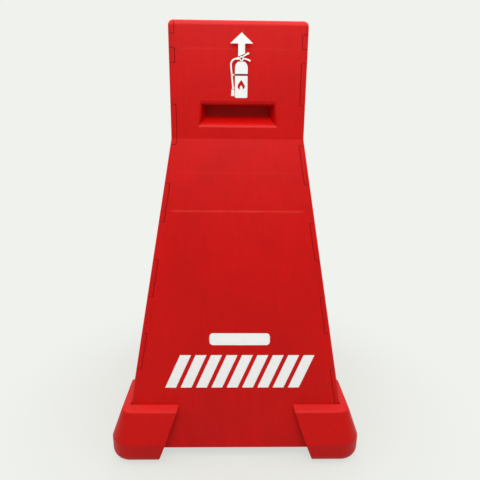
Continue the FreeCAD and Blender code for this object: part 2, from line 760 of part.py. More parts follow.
def build_pad(label):
    """A rubber pad in the sole of the front right foot."""
    body = new_body(label)
    sketch = new_sketch(body, "XY_Plane", "pad_shape")
    add_outline(sketch, pad_outline("0"))
    extrude(body, "Pad", "pad_block", sketch, "Sizes.pad_thick")
    return body


# Shelf
def build_shelf(label):
    """A plate with a tongue into each panel, a ring round the extinguisher, ribs and a drain hole."""
    body = new_body(label)
    under = "(Sizes.shelf_height - Sizes.shelf_plate)"
    reach = "(%s - Sizes.face_wall - Sizes.shelf_gap * 2)" % half_width("Sizes.shelf_height")
    outline = []
    for across, up in (("", "-"), ("", ""), ("-", ""), ("-", "-")):
        corner = [
            (across + reach, up + TONGUE), (across + SHELF_INNER, up + TONGUE),
            (across + SHELF_INNER, up + SHELF_INNER), (across + TONGUE, up + SHELF_INNER),
            (across + TONGUE, up + reach),
        ]
        turned = (across == "") == (up == "")
        outline += corner if turned else corner[::-1]
    plate = new_sketch(body, "XY_Plane", "plate_outline", ("0", "0", under))
    add_outline(plate, outline)
    extrude(body, "Pad", "plate", plate, "Sizes.shelf_plate")
    rib_low = "(%s - Sizes.shelf_rib_depth)" % under
    rib_ends = trapezoid("Sizes.ring_bore", "Sizes.ring_bore + Sizes.shelf_rib_depth * 2", rib_low, under)
    for role, name in (("XZ_Plane", "cross_rib"), ("YZ_Plane", "long_rib")):
        rib = new_sketch(body, role, name + "_outline")
        add_outline(rib, rib_ends)
        extrude(body, "Pad", name, rib, "Sizes.ring_wall", SideType="Symmetric")
    ring = new_sketch(body, "XY_Plane", "ring_outline", ("0", "0", "Sizes.shelf_height"))
    add_circle(ring, "0", "0", "Sizes.ring_bore")
    add_circle(ring, "0", "0", "(Sizes.ring_bore + Sizes.ring_wall * 2)")
    extrude(body, "Pad", "ring", ring, "Sizes.ring_height")
    drain = new_sketch(body, "XY_Plane", "drain_outline", ("0", "0", "Sizes.shelf_height"))
    add_circle(drain, "0", "0", "Sizes.drain_bore")
    extrude(body, "Pocket", "drain", drain, "Sizes.shelf_plate + Sizes.shelf_rib_depth")
    return body


# Pegs
def add_peg(label, place, axis, angle, length):
    """A flat push-fit peg along its own +Z from the underside of its head."""
    peg = new_body(label)
    shank = new_sketch(peg, "XY_Plane", label + "_shank_outline")
    add_outline(shank, rectangle("0", "0", "Sizes.peg_thick", "Sizes.peg_width"))
    extrude(peg, "Pad", label + "_shank", shank, length)
    doc.recompute()
    tip = peg.newObject("PartDesign::Chamfer", label + "_tip")
    tip.Base = (peg.getObject(label + "_shank"), ["Face6"])
    tip.setExpression("Size", "Sizes.peg_tip")
    head = new_sketch(peg, "XY_Plane", label + "_head_outline")
    rim = "Sizes.peg_rim * 2"
    add_outline(head, rectangle("0", "0", "(Sizes.peg_thick + %s)" % rim, "(Sizes.peg_width + %s)" % rim))
    extrude(peg, "Pad", label + "_head", head, "Sizes.peg_head", Reversed=True)
    peg.Placement = FreeCAD.Placement(vector(), FreeCAD.Rotation(vector(*axis), 1))
    peg.setExpression("Placement.Rotation.Angle", angle)
    for name, expression in zip("xyz", place):
        peg.setExpression("Placement.Base." + name, expression)
    return peg


def group(label, pegs):
    node = doc.addObject("Part::Compound", label)
    node.Label = label
    node.Links = pegs
    return node


def build_corner_pegs(label):
    """Pegs from inside the right panel's bays into the front panel's fingers."""
    pegs = []
    into = "(Sizes.edge_flange + Sizes.joint_gap)"
    for step, height in enumerate(peg_heights()):
        lean = LEAN_ANGLE if number(height) <= number(NECK) else "0 deg"
        place = (
            peg_line(height),
            "-(%s - Sizes.panel_depth - %s * cos(%s))" % (half_width(height), into, lean),
            "(%s - %s * sin(%s))" % (height, into, lean),
        )
        name = "%s_%d" % (label, step)
        pegs.append(add_peg(name, place, (1, 0, 0), "90 deg - %s" % lean, "Sizes.corner_peg"))
    return group(label, pegs)


def build_foot_pegs(label):
    """Pegs from below through the foot into the panels' bosses."""
    places = (
        (("Sizes.foot_peg_offset", "-" + FOOT_PEG_LINE, FOOT_SEAT), "90 deg"),
        ((FOOT_PEG_LINE, "-Sizes.foot_peg_offset", FOOT_SEAT), "0 deg"),
    )
    pegs = []
    for step, (place, angle) in enumerate(places):
        pegs.append(add_peg("%s_%d" % (label, step), place, (0, 0, 1), angle, "Sizes.foot_peg"))
    return group(label, pegs)


# The whole stand
SIDES = ("front", "right", "rear", "left")
CORNERS = ("front_right", "rear_right", "rear_left", "front_left")


def repeat(original, label, quarter_turns):
    """The same piece turned about the stand's middle axis."""
    copy = doc.addObject("App::Link", label)
    copy.Label = label
    copy.LinkedObject = original
    copy.LinkTransform = False
    turn = FreeCAD.Rotation(vector(0, 0, 1), 90 * quarter_turns)
    copy.Placement = FreeCAD.Placement(vector(), turn)
    return copy


def four_of(build, names):
    """One piece built at the first place and repeated at the other three."""
    first = build(names[0])
    return [first] + [repeat(first, names[turns], turns) for turns in (1, 2, 3)]


pieces = four_of(build_panel, [side + "_panel" for side in SIDES])
pieces += four_of(build_foot, [corner + "_foot" for corner in CORNERS])
pieces += four_of(build_pad, [corner + "_foot_pad" for corner in CORNERS])
pieces += four_of(build_corner_pegs, [corner + "_corner_pegs" for corner in CORNERS])
pieces += four_of(build_foot_pegs, [corner + "_foot_pegs" for corner in CORNERS])
pieces.append(build_shelf("extinguisher_shelf"))
doc.recompute()

for item in doc.Objects:
    if "Invalid" in item.State or "Error" in item.State:
        raise RuntimeError("%s failed: %s" % (item.Label, item.State))

os.makedirs("parts", exist_ok=True)
for item in pieces:
    shape = Part.getShape(item)
    if shape.isNull() or not shape.isValid():
        raise RuntimeError("%s has no valid shape" % item.Label)
    shape.exportStep("parts/%s.step" % item.Label)
    print(item.Label, len(shape.Solids), round(shape.Volume), shape.BoundBox)
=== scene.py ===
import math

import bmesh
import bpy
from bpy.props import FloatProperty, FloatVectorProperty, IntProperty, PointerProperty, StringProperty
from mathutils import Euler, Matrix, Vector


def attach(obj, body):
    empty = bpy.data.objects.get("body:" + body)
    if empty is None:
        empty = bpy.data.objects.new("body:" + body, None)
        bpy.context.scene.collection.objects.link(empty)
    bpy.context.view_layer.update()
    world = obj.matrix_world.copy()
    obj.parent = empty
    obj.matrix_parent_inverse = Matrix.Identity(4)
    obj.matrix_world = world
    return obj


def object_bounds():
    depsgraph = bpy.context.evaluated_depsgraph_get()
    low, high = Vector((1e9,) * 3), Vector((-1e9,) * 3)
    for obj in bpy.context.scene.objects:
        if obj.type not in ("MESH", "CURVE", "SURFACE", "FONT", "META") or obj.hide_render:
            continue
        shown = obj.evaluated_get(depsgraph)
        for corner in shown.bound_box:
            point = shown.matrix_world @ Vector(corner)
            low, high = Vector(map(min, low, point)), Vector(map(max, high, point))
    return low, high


bl_info = {
    "name": "Fire Extinguisher Stand",
    "version": (1, 0, 0),
    "blender": (4, 5, 0),
    "location": "View3D > Sidebar > Stand",
    "description": "Finishes, printed signs and a studio for a moulded fire extinguisher stand",
    "category": "Object",
}

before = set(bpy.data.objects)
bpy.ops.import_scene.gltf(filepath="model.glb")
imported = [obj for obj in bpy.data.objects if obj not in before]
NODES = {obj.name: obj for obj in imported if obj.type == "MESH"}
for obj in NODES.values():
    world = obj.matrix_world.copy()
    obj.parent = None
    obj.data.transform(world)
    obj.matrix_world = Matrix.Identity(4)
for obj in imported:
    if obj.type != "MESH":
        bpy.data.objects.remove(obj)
CAD_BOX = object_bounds()

MM = 0.001
WALL_TOP = CAD_BOX[1].z
FRONT_WALL = "front_panel"
CLOUD = 140 * MM
PRINT_SHADE = "F2F2F0"
PAD_DUST = "2A2A2A"
PEG_SHADE = "2C2C2E"
FLOOR_TONES = ("B9BAB6", "BEBFBB")
FLOOR_FADE = (0.3, 0.75)
FLOOR_GLOW_NEAR = 0.7
SOFTBOX_SIZE = 1.6


# Sizes and colours that a user would change
class StandPlasticSettings(bpy.types.PropertyGroup):
    panel_colour: StringProperty(
        name="Panel red", description="Moulded-in red of the panels, sRGB hex", default="CD0401")
    panel_deep_colour: StringProperty(
        name="Panel deep red", description="Darker red of the flow marks, sRGB hex", default="B90200")
    # Painted highlight: this pale red lightens the level lines, as if their rise caught the light.
    line_highlight_colour: StringProperty(
        name="Line red", description="Lighter red of the level lines in the panels, sRGB hex",
        default="E43A2C")
    # Painted shade: this dark red is laid along the finger joints and the panels' other sharp edges, where
    # shade falls.
    joint_shade_colour: StringProperty(
        name="Seam red", description="Dark red gathered along the finger joints, sRGB hex",
        default="5A0000")
    foot_colour: StringProperty(
        name="Foot red", description="Moulded-in red of the feet, sRGB hex", default="C80702")
    foot_deep_colour: StringProperty(
        name="Foot deep red", description="Darker red in the feet's mottle, sRGB hex", default="BA0401")
    shelf_colour: StringProperty(
        name="Shelf red", description="Moulded-in red of the shelf, sRGB hex", default="B40502")
    shelf_deep_colour: StringProperty(
        name="Shelf deep red", description="Darker red in the shelf's mottle, sRGB hex", default="A20301")
    pad_colour: StringProperty(
        name="Pad black", description="Rubber of the floor pads, sRGB hex", default="1A1A1B")
    peg_colour: StringProperty(
        name="Peg black", description="Nylon of the push-fit pegs, sRGB hex", default="202022")
    grain: FloatProperty(
        name="Grain", description="Spark-eroded mould grain", default=1.4 * MM, unit="LENGTH", precision=4)
    streak: FloatProperty(
        name="Flow streak", description="Width of the flow streaks in the walls", default=9 * MM,
        unit="LENGTH")
    edge: FloatProperty(
        name="Edge break", description="Rounding of the moulded edges", default=1.5 * MM, unit="LENGTH",
        precision=4)


class StandPrintSettings(bpy.types.PropertyGroup):
    white: StringProperty(name="Print white", description="Screen-printed white, sRGB hex", default="FBFBFA")
    ink: FloatProperty(
        name="Ink thickness", description="Height of the print on the wall", default=0.15 * MM,
        unit="LENGTH", precision=5)
    sign_across: FloatProperty(
        name="Sign centre", description="Sideways place of the pictogram", default=6.7 * MM, unit="LENGTH")
    sign_foot: FloatProperty(
        name="Sign foot", description="Height of the pictogram's foot", default=855.7 * MM, unit="LENGTH")
    bar_centre: FloatProperty(
        name="Bar centre", description="Sideways place of the plain bar", default=8 * MM, unit="LENGTH")
    bar_height: FloatProperty(
        name="Bar height", description="Height of the plain bar's middle", default=298.3 * MM, unit="LENGTH")
    bar_size: FloatVectorProperty(
        name="Bar size", description="Width and height of the plain bar", size=2,
        default=(146 * MM, 29.5 * MM), unit="LENGTH")
    band_centre: FloatProperty(
        name="Band centre", description="Sideways place of the hazard band", default=8.8 * MM, unit="LENGTH")
    band_height: FloatProperty(
        name="Band height", description="Height of the hazard band's middle", default=218.5 * MM,
        unit="LENGTH")
    band_size: FloatVectorProperty(
        name="Band size", description="Width and height of the hazard band", size=2,
        default=(363 * MM, 82 * MM), unit="LENGTH")
    band_bars: IntProperty(name="Band bars", description="Slanted bars in the band", default=9, min=2)


class StandStudioSettings(bpy.types.PropertyGroup):
    background: StringProperty(
        name="Background", description="Pale backdrop colour, sRGB hex", default="F0F2ED")
    floor_size: FloatProperty(
        name="Floor", description="Side of the floor", default=12.0, unit="LENGTH")
    camera_place: FloatVectorProperty(
        name="Camera place", description="Where the camera stands", size=3,
        default=(-0.0128, -1.1770, 0.8160), unit="LENGTH")
    camera_turn: FloatVectorProperty(
        name="Camera turn", description="Tilt from straight down, heading and roll", size=3,
        default=(math.radians(74.16), math.radians(-1.153), math.radians(0.615)), unit="ROTATION")
    camera_lens: FloatProperty(name="Lens", description="Focal length in millimetres", default=32.67)
    ambient: FloatProperty(name="Ambient", description="Strength of the light from all round", default=0.175)
    front_power: FloatProperty(
        name="Front light", description="Power of the softbox above the camera", default=37.0, unit="POWER")
    side_power: FloatProperty(
        name="Side lights", description="Power of each softbox at the sides", default=24.0, unit="POWER")
    back_power: FloatProperty(
        name="Back light", description="Power of the softbox behind", default=34.0, unit="POWER")
    top_power: FloatProperty(
        name="Top light", description="Power of the softbox overhead", default=16.5, unit="POWER")
    light_reach: FloatProperty(
        name="Light reach", description="Distance of the softboxes from the middle", default=1.7,
        unit="LENGTH")
    light_height: FloatProperty(
        name="Light height", description="Height of the softboxes", default=2.3, unit="LENGTH")


# Colours and nodes
def linear(hex_colour):
    """An sRGB hex colour as linear red, green, blue and alpha."""
    parts = [int(hex_colour[start:start + 2], 16) / 255 for start in (0, 2, 4)]
    return tuple(c / 12.92 if c <= 0.04045 else ((c + 0.055) / 1.055) ** 2.4 for c in parts) + (1.0,)


def add_node(tree, kind, settings, links):
    """A node with its settings, by attribute, input name or input number, and its links."""
    node = tree.nodes.new("ShaderNode" + kind)
    for key, value in settings.items():
        if isinstance(key, str) and hasattr(node, key):
            setattr(node, key, value)
        else:
            node.inputs[key].default_value = value
    for key, source in links.items():
        tree.links.new(source, node.inputs[key])
    return node


def new_material(name):
    """An empty node material with its output, and its tree."""
    material = bpy.data.materials.new(name)
    material.use_nodes = True
    material.node_tree.nodes.clear()
    return material, material.node_tree


def per(size):
    """A texture scale whose pattern repeats about once in a real size."""
    return 1.0 / size


def object_place(tree):
    return add_node(tree, "TexCoord", {}, {}).outputs["Object"]


def stretched(tree, place, scale):
    """Object coordinates scaled along each axis, so that a pattern runs along one of them."""
    return add_node(tree, "Mapping", {"Scale": scale}, {"Vector": place}).outputs[0]


def band_round(tree, height, centre, half):
    """One at a height, falling to nothing a small way above and below it."""
    offset = add_node(tree, "Math", {"operation": "SUBTRACT", 1: centre}, {0: height})
    distance = add_node(tree, "Math", {"operation": "ABSOLUTE"}, {0: offset.outputs[0]})
    fade = add_node(
        tree, "MapRange", {"From Min": 0.0, "From Max": half, "To Min": 1.0, "To Max": 0.0},
        {"Value": distance.outputs[0]})
    return fade.outputs[0]


# Over a rib or the shelf's slot behind the wall, the plastic stands up in a faint level line, lightened as a
# painted highlight:
# its height, its share of the full rise and painted highlight, and how far it reaches from the wall's middle
WALL_LINES = ((602 * MM, 0.62, 158 * MM), (690 * MM, 0.12, 150 * MM), (957 * MM, 0.2, 138 * MM))
WALL_LINE_HALF = 3.4 * MM
WALL_LINE_FADE = 12 * MM
WALL_LINE_RISE = 0.6 * MM
# Share of the painted shade along the panels' sharp edges
JOINT_SHADE_SHARE = 0.6


def wall_lines(tree, place):
    """Faint level lines over the ribs, fading out before the corners and uneven along their length; the mask
    drives both their real rise and their painted highlight.
    """
    parts = add_node(tree, "SeparateXYZ", {}, {0: place}).outputs
    sizes = [add_node(tree, "Math", {"operation": "ABSOLUTE"}, {0: parts[axis]}).outputs[0] for axis in "XY"]
    across = add_node(tree, "Math", {"operation": "MINIMUM"}, {0: sizes[0], 1: sizes[1]}).outputs[0]
    uneven = add_node(tree, "TexNoise", {"Scale": per(60 * MM), "Detail": 2.0}, {"Vector": place})
    lively = add_node(
        tree, "MapRange", {"From Min": 0.3, "From Max": 0.6, "To Min": 0.5}, {"Value": uneven.outputs[0]})
    total = None
    for height, share, reach in WALL_LINES:
        line = band_round(tree, parts["Z"], height, WALL_LINE_HALF)
        ends = add_node(
            tree, "MapRange",
            {"From Min": reach - WALL_LINE_FADE, "From Max": reach, "To Min": share, "To Max": 0.0},
            {"Value": across})
        line = add_node(tree, "Math", {"operation": "MULTIPLY"}, {0: line, 1: ends.outputs[0]}).outputs[0]
        if total is not None:
            line = add_node(tree, "Math", {"operation": "ADD"}, {0: total, 1: line}).outputs[0]
        total = line
    return add_node(
        tree, "Math", {"operation": "MULTIPLY"}, {0: total, 1: lively.outputs[0]}).outputs[0]


def sharp_edges(tree, rounded):
    """One along sharp edges such as the finger joints, where the rounded normal leaves the flat one."""
    flat = add_node(tree, "NewGeometry", {}, {}).outputs["True Normal"]
    likeness = add_node(tree, "VectorMath", {"operation": "DOT_PRODUCT"}, {0: rounded, 1: flat})
    return add_node(
        tree, "MapRange", {"From Min": 0.97, "From Max": 0.78},
        {"Value": likeness.outputs["Value"]}).outputs[0]


# How the flow streaks are stretched along each axis, and their share of the mottle
FLOW_STREAKS = (((1.0, 1.0, 0.08), 0.35), ((0.1, 0.1, 1.0), 0.12))


def moulded_red(name, colour, deep_colour, settings, lined, roughness):
    """Injection-moulded polypropylene: satin, finely grained and faintly clouded by the flow.

    Its grain scatters the highlight, so edges glow softly and no reflection is sharp. The grain is
    drawn coarser than the real 0.3 mm so that it shows.
    """
    material, tree = new_material(name)
    place = object_place(tree)
    cloud = add_node(
        tree, "TexNoise", {"Scale": per(CLOUD), "Detail": 3.0, "Roughness": 0.6}, {"Vector": place})
    mottle = cloud.outputs[0]
    for scale, share in FLOW_STREAKS:
        streak = add_node(
            tree, "TexNoise", {"Scale": per(settings.streak), "Detail": 2.0},
            {"Vector": stretched(tree, place, scale)})
        mottle = add_node(
            tree, "Mix", {"data_type": "FLOAT", 0: share}, {2: mottle, 3: streak.outputs[0]}).outputs[0]
    amount = add_node(tree, "MapRange", {"From Min": 0.31, "From Max": 0.69}, {"Value": mottle})
    tone = add_node(
        tree, "Mix", {"data_type": "RGBA", 6: linear(deep_colour), 7: linear(colour)},
        {0: amount.outputs[0]}).outputs[2]
    edge = add_node(tree, "Bevel", {"samples": 6, "Radius": settings.edge}, {}).outputs[0]
    if lined:
        # Painted shade: the finger joints and every other sharp edge of the panels are darkened towards a
        # deep red, as if shade fell in and beside them.
        painted_joint_shade = add_node(
            tree, "Math", {"operation": "MULTIPLY", 1: JOINT_SHADE_SHARE}, {0: sharp_edges(tree, edge)})
        tone = add_node(
            tree, "Mix", {"data_type": "RGBA", 7: linear(settings.joint_shade_colour)},
            {0: painted_joint_shade.outputs[0], 6: tone}).outputs[2]
        lines = wall_lines(tree, place)
        # Painted highlight: the level lines are lightened towards a pale red, as if their rise caught the
        # light; the bump below gives the rise itself.
        tone = add_node(
            tree, "Mix", {"data_type": "RGBA", 7: linear(settings.line_highlight_colour)},
            {0: lines, 6: tone}).outputs[2]
        edge = add_node(
            tree, "Bump", {"Strength": 0.5, "Distance": WALL_LINE_RISE},
            {"Height": lines, "Normal": edge}).outputs[0]
    grain = add_node(
        tree, "TexNoise", {"Scale": per(settings.grain), "Detail": 1.0}, {"Vector": place})
    soft = add_node(
        tree, "Bump", {"Strength": 0.12, "Distance": 0.3 * MM},
        {"Height": cloud.outputs[0], "Normal": edge})
    fine = add_node(
        tree, "Bump", {"Strength": 0.14, "Distance": 0.12 * MM},
        {"Height": grain.outputs[0], "Normal": soft.outputs[0]})
    polish = add_node(
        tree, "MapRange", {"To Min": roughness - 0.05, "To Max": roughness + 0.05},
        {"Value": cloud.outputs[0]})
    shader = add_node(
        tree, "BsdfPrincipled", {"IOR": 1.49, "Specular IOR Level": 0.2},
        {"Base Color": tone, "Roughness": polish.outputs[0], "Normal": fine.outputs[0]})
    add_node(tree, "OutputMaterial", {}, {"Surface": shader.outputs[0]})
    return material


def screen_print_white(settings):
    """Screen-printed white ink: dense and slightly glossy, with a trace of uneven lay-down."""
    material, tree = new_material("screen_print_white")
    place = object_place(tree)
    lay = add_node(tree, "TexNoise", {"Scale": per(6 * MM), "Detail": 2.0}, {"Vector": place})
    tone = add_node(
        tree, "Mix", {"data_type": "RGBA", 6: linear(PRINT_SHADE), 7: linear(settings.white)},
        {0: lay.outputs[0]})
    gloss = add_node(tree, "MapRange", {"To Min": 0.32, "To Max": 0.42}, {"Value": lay.outputs[0]})
    bump = add_node(
        tree, "Bump", {"Strength": 0.1, "Distance": 0.05 * MM}, {"Height": lay.outputs[0]})
    shader = add_node(
        tree, "BsdfPrincipled", {"IOR": 1.5},
        {"Base Color": tone.outputs[2], "Roughness": gloss.outputs[0], "Normal": bump.outputs[0]})
    add_node(tree, "OutputMaterial", {}, {"Surface": shader.outputs[0]})
    return material


def moulded_rubber(settings):
    """Compression-moulded nitrile rubber: near black, dull and faintly dusty."""
    material, tree = new_material("moulded_rubber")
    place = object_place(tree)
    dust = add_node(tree, "TexNoise", {"Scale": per(5 * MM), "Detail": 4.0}, {"Vector": place})
    tone = add_node(
        tree, "Mix", {"data_type": "RGBA", 6: linear(settings.pad_colour), 7: linear(PAD_DUST)},
        {0: dust.outputs[0]})
    bump = add_node(
        tree, "Bump", {"Strength": 0.3, "Distance": 0.1 * MM}, {"Height": dust.outputs[0]})
    shader = add_node(
        tree, "BsdfPrincipled", {"Roughness": 0.8, "IOR": 1.52},
        {"Base Color": tone.outputs[2], "Normal": bump.outputs[0]})
    add_node(tree, "OutputMaterial", {}, {"Surface": shader.outputs[0]})
    return material


def moulded_nylon(settings):
    """Injection-moulded black nylon, as on push-fit pegs: dull with a soft, slightly waxy highlight."""
    material, tree = new_material("moulded_nylon")
    place = object_place(tree)
    grain = add_node(tree, "TexNoise", {"Scale": per(1.6 * MM), "Detail": 2.0}, {"Vector": place})
    tone = add_node(
        tree, "Mix", {"data_type": "RGBA", 6: linear(settings.peg_colour), 7: linear(PEG_SHADE)},
        {0: grain.outputs[0]})
    bump = add_node(
        tree, "Bump", {"Strength": 0.2, "Distance": 0.1 * MM}, {"Height": grain.outputs[0]})
    shader = add_node(
        tree, "BsdfPrincipled", {"Roughness": 0.48, "IOR": 1.53},
        {"Base Color": tone.outputs[2], "Normal": bump.outputs[0]})
    add_node(tree, "OutputMaterial", {}, {"Surface": shader.outputs[0]})
    return material


def dress(names, material):
    """Give CAD nodes a finish through their material slots."""
    for name in names:
        for slot in NODES[name].material_slots:
            slot.material = material


def nodes_ending(ending):
    """CAD nodes of one kind."""
    found = sorted(name for name in NODES if name.endswith(ending))
    if not found:
        raise RuntimeError("no CAD node ends with " + ending)
    return found


# Flat prints on a wall
def wall_point(height):
    """The front wall's outer face in the middle, at a height."""
    hit, place, _normal, _face = NODES[FRONT_WALL].ray_cast(
        Vector((0.0, CAD_BOX[0].y - 1.0, height)), Vector((0.0, 1.0, 0.0)))
    if not hit:
        raise RuntimeError("the front wall has no face at this height")
    return place


def wall_matrix(across, height):
    """Places a flat print, drawn in its own X and Y, on the front wall."""
    reach = 12 * MM
    middle = wall_point(height)
    up = (wall_point(height + reach) - wall_point(height - reach)).normalized()
    outward = Vector((1.0, 0.0, 0.0)).cross(up)
    columns = Matrix((Vector((1.0, 0.0, 0.0)), up, outward)).transposed().to_4x4()
    return Matrix.Translation(middle + Vector((across, 0.0, 0.0))) @ columns


def add_polygon(mesh, points):
    """A flat face through a few points."""
    return mesh.faces.new([mesh.verts.new((across, up, 0.0)) for across, up in points])


def add_ring(mesh, across, up, outer, inner):
    """A flat ring, spun from one edge."""
    ends = [mesh.verts.new((across + width / 2, up, 0.0)) for width in (inner, outer)]
    edge = mesh.edges.new(ends)
    bmesh.ops.spin(
        mesh, geom=ends + [edge], cent=(across, up, 0.0), axis=(0, 0, 1), angle=math.tau,
        steps=32, use_merge=True)


def add_bar(mesh, start, end, start_width, end_width):
    """A straight bar between two points, with its own width at each end."""
    along = (Vector(end) - Vector(start)).normalized()
    side = Vector((-along.y, along.x))
    corners = []
    for place, width, sign in ((start, start_width, 1), (start, start_width, -1),
                               (end, end_width, -1), (end, end_width, 1)):
        corners.append(Vector(place) + side * sign * width / 2)
    add_polygon(mesh, corners)


def finish_print(mesh, name, material, settings, across, height):
    """Give the flat faces the ink's thickness, set them on the wall and make them a piece."""
    for face in mesh.faces:
        if face.normal.z < 0:
            face.normal_flip()
    grown = bmesh.ops.extrude_face_region(mesh, geom=mesh.faces[:])
    raised = [item for item in grown["geom"] if isinstance(item, bmesh.types.BMVert)]
    bmesh.ops.translate(mesh, verts=raised, vec=(0.0, 0.0, settings.ink))
    bmesh.ops.recalc_face_normals(mesh, faces=mesh.faces[:])
    bmesh.ops.transform(mesh, matrix=wall_matrix(across, height), verts=mesh.verts[:])
    data = bpy.data.meshes.new(name)
    mesh.to_mesh(data)
    mesh.free()
    piece = bpy.data.objects.new(name, data)
    bpy.context.scene.collection.objects.link(piece)
    data.materials.append(material)
    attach(piece, "root")
    return piece


def material_named(name):
    """A finish made by an earlier operator."""
    material = bpy.data.materials.get(name)
    if material is None:
        raise RuntimeError("the finish %s has to be made first" % name)
    return material


class STAND_OT_panels(bpy.types.Operator):
    """Moulded red finish of the four walls"""
    bl_idname = "stand.panels"
    bl_label = "Panels"

    def execute(self, context):
        settings = context.scene.stand_plastic
        dress(nodes_ending("_panel"), moulded_red(
            "satin_polypropylene_red", settings.panel_colour, settings.panel_deep_colour, settings,
            lined=True, roughness=0.5))
        return {"FINISHED"}


class STAND_OT_feet(bpy.types.Operator):
    """Moulded red finish of the corner feet"""
    bl_idname = "stand.feet"
    bl_label = "Corner feet"

    def execute(self, context):
        settings = context.scene.stand_plastic
        dress(nodes_ending("_foot"), moulded_red(
            "polished_polypropylene_red", settings.foot_colour, settings.foot_deep_colour, settings,
            lined=False, roughness=0.48))
        return {"FINISHED"}


class STAND_OT_inner_pieces(bpy.types.Operator):
    """Finishes of the shelf, the floor pads and the pegs"""
    bl_idname = "stand.inner_pieces"
    bl_label = "Shelf, pads and pegs"

    def execute(self, context):
        settings = context.scene.stand_plastic
        dress(["extinguisher_shelf"], moulded_red(
            "matt_polypropylene_red", settings.shelf_colour, settings.shelf_deep_colour, settings,
            lined=False, roughness=0.58))
        dress(nodes_ending("_foot_pad"), moulded_rubber(settings))
        dress(nodes_ending("_pegs"), moulded_nylon(settings))
        return {"FINISHED"}


# Pictogram, in millimetres from the middle of its foot
SIGN_LIFT = 0.4
ARROW = ((0, 133.3), (-24.7, 111.5), (-7.4, 111.5), (-7.4, 85.5), (7.4, 91.5), (7.4, 111.5), (24.7, 111.5))
TANK_WIDTH = 27.8
TANK_SHOULDER = 62
TANK_TOP = 75.5
NECK_WIDTH = 9
BAND_LOW = 46.3
BAND_HIGH = 50.3
VALVE_HEIGHT = 81.6


def draw_tank(mesh):
    """Tank below and above its band, with a domed top."""
    half = TANK_WIDTH / 2
    add_polygon(mesh, [(-half, 1.5), (-half + 2.5, 0), (half - 2.5, 0), (half, 1.5), (half, BAND_LOW),
                       (-half, BAND_LOW)])
    shoulder = []
    steps = 6
    for step in range(steps + 1):
        angle = math.pi / 2 * step / steps
        across = NECK_WIDTH / 2 + (half - NECK_WIDTH / 2) * math.cos(angle)
        shoulder.append((across, TANK_SHOULDER + (TANK_TOP - TANK_SHOULDER) * math.sin(angle)))
    mirrored = [(-across, up) for across, up in reversed(shoulder)]
    add_polygon(mesh, [(half, BAND_HIGH)] + shoulder + mirrored + [(-half, BAND_HIGH)])


def draw_valve(mesh):
    """Valve ring with the two levers of its grip."""
    add_ring(mesh, 0, VALVE_HEIGHT, 10, 5)
    add_bar(mesh, (3.5, VALVE_HEIGHT + 4.5), (16, VALVE_HEIGHT + 11.3), 2.6, 4.2)
    add_bar(mesh, (5.6, VALVE_HEIGHT), (13, VALVE_HEIGHT - 1.6), 3.0, 3.4)
    add_bar(mesh, (13, VALVE_HEIGHT - 1.6), (19.6, VALVE_HEIGHT - 4.6), 3.4, 3.4)
    add_bar(mesh, (-5.2, VALVE_HEIGHT), (-10.5, VALVE_HEIGHT), 5.5, 5.0)


def draw_hose(mesh):
    """Hose from the valve over a bend and down to the nozzle, with its clip."""
    width = 3.4
    bend = 12.5
    start = -10.5
    ends = [mesh.verts.new((start, VALVE_HEIGHT - 0.4 + side * width / 2, 0)) for side in (-1, 1)]
    edge = mesh.edges.new(ends)
    bent = bmesh.ops.spin(
        mesh, geom=ends + [edge], cent=(start, VALVE_HEIGHT - 0.4 - bend, 0), axis=(0, 0, 1),
        angle=math.pi / 2, steps=10)
    last = [item for item in bent["geom_last"] if isinstance(item, bmesh.types.BMEdge)]
    down = bmesh.ops.extrude_edge_only(mesh, edges=last)
    moved = [item for item in down["geom"] if isinstance(item, bmesh.types.BMVert)]
    bmesh.ops.translate(mesh, verts=moved, vec=(4.8, -46.5, 0))
    add_bar(mesh, (-17.6, 22.5), (-17.6, 18.8), 5.0, 5.4)
    add_bar(mesh, (-18.4, 17.6), (-18.4, 4.0), 6.0, 7.6)
    add_bar(mesh, (-22.5, 48.4), (-15.4, 48.4), 3.2, 3.2)


def drop_points(width, height, foot, count=24):
    """A plain drop outline, round below and pointed above."""
    points = []
    for step in range(count):
        turn = math.tau * step / count
        across = width / 1.3 * math.sin(turn) * abs(math.sin(turn / 2)) ** 1.5
        points.append((across, foot + height * (1 + math.cos(turn)) / 2))
    return points


class STAND_OT_pictogram(bpy.types.Operator):
    """Printed safety sign on the front wall: an arrow above a plain extinguisher"""
    bl_idname = "stand.pictogram"
    bl_label = "Pictogram"

    def execute(self, context):
        settings = context.scene.stand_print
        white = screen_print_white(settings)
        red = material_named("satin_polypropylene_red")
        for name, draw in (
            ("sign_arrow", lambda mesh: add_polygon(mesh, ARROW)),
            ("sign_tank", draw_tank),
            ("sign_valve", draw_valve),
            ("sign_hose", draw_hose),
        ):
            self.add_sign(name, draw, white, settings, 1)
        self.add_sign("sign_flame", lambda mesh: add_polygon(mesh, drop_points(15, 20, 18)), red, settings, 2)
        self.add_sign("sign_flame_core", lambda mesh: add_polygon(mesh, drop_points(6.5, 9, 18)), white,
                      settings, 3)
        return {"FINISHED"}

    def add_sign(self, name, draw, material, settings, layer):
        """One shape of the sign, each layer a little prouder than the one below."""
        mesh = bmesh.new()
        draw(mesh)
        bmesh.ops.scale(mesh, vec=(MM, MM, MM), verts=mesh.verts[:])
        mesh.normal_update()
        piece = finish_print(mesh, name, material, settings, settings.sign_across, settings.sign_foot)
        lift = Vector((0.0, -(layer - 1) * settings.ink * SIGN_LIFT, 0.0))
        piece.data.transform(Matrix.Translation(lift))


